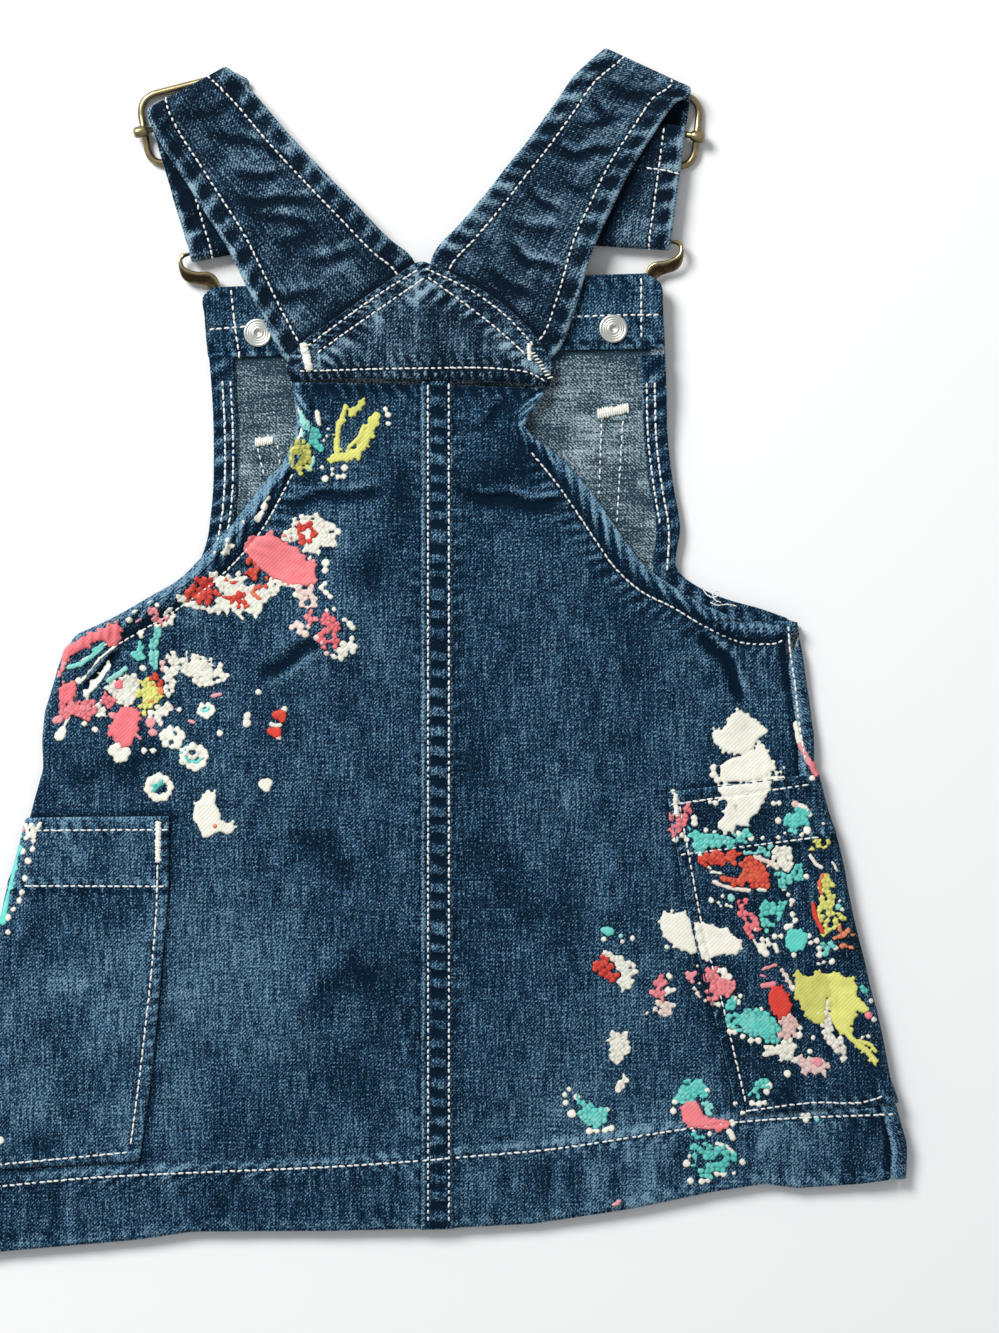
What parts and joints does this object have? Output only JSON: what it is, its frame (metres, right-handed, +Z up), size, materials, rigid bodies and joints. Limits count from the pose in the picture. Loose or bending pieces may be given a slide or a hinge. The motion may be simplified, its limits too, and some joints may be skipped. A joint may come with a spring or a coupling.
{
  "type": "denim dungaree dress laid flat",
  "caption": "Child's dungaree dress in worn denim, laid flat on its front, with bib, strap buckles, wrap-round patch pockets and paint-like embroidery.",
  "frame": {"origin": "on the surface the dress lies on, under the middle of its box", "axes": "+X to the right and +Y towards the shoulders as the dress lies with its back uppermost, +Z up off the surface"},
  "size_m": [0.3453, 0.4252, 0.0099],
  "materials": {
    "denim": "washed indigo twill, pale where it rubs",
    "denim_wrong_side": "grey-blue back of the twill",
    "antique_brass": "antiqued, darkened in the hollows, bright on the rims",
    "silver_metal": "pale turned metal",
    "thread": "matt cream topstitching thread",
    "paint_white": "raised off-white",
    "paint_coral": "raised coral pink",
    "paint_red": "raised red",
    "paint_teal": "raised teal green",
    "paint_yellow": "raised yellow"
  },
  "bodies": {
    "root": {"front_panel": "denim_wrong_side", "bib_facing": "denim", "edge_hem_left": "denim", "edge_hem_right": "denim", "bib_pocket": "denim", "back_panel_left": "denim", "back_panel_right": "denim", "back_seam": "denim", "back_yoke": "denim", "pocket_left": "denim", "pocket_right": "denim", "strap_left": "denim", "strap_right": "denim", "slide_left": "antique_brass", "slide_right": "antique_brass", "hook_left": "antique_brass", "hook_right": "antique_brass", "button_left": "silver_metal", "button_right": "silver_metal"}
  },
  "joints": []
}
